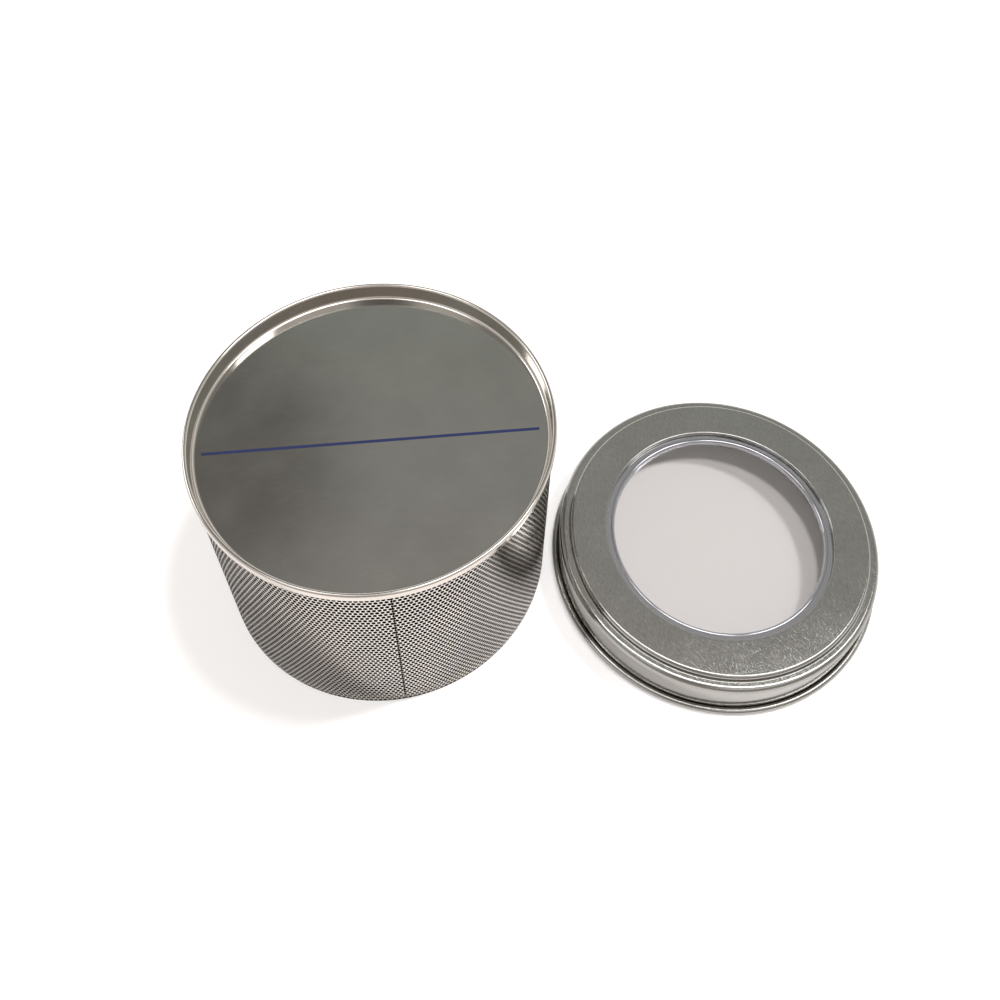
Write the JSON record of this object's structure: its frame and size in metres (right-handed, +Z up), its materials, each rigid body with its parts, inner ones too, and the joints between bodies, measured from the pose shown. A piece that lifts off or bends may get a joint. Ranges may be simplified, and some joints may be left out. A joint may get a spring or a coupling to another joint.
{
  "type": "window lid tin",
  "caption": "Round tinplate canister with a perforated wall, a seamed end panel and an open mouth, beside its slip-on lid with a clear window.",
  "frame": {"origin": "centre of the canister's mouth, in the plane that the canister and the lid stand on", "axes": "+Z up along the canister's axis, away from the mouth; -Y towards the side seam; the lid lies towards +X"},
  "size_m": [0.2028, 0.1243, 0.0705],
  "materials": {
    "perforated_tinplate": "bright perforated tinplate",
    "end_tinplate": "satin tinplate",
    "lid_tinplate": "satin tinplate with fine brushing marks",
    "clear_plastic": "clear formed sheet"
  },
  "bodies": {
    "canister": {"perforated_wall": "perforated_tinplate", "end_panel": "end_tinplate"},
    "lid": {"lid_shell": "lid_tinplate", "window_pane": "clear_plastic", "window_ring": "lid_tinplate"}
  },
  "joints": [
    {"name": "lid_lift", "type": "slide", "parent": "canister", "child": "lid", "axis": [0, 0, 1], "range_m": [0, 0.09]}
  ]
}
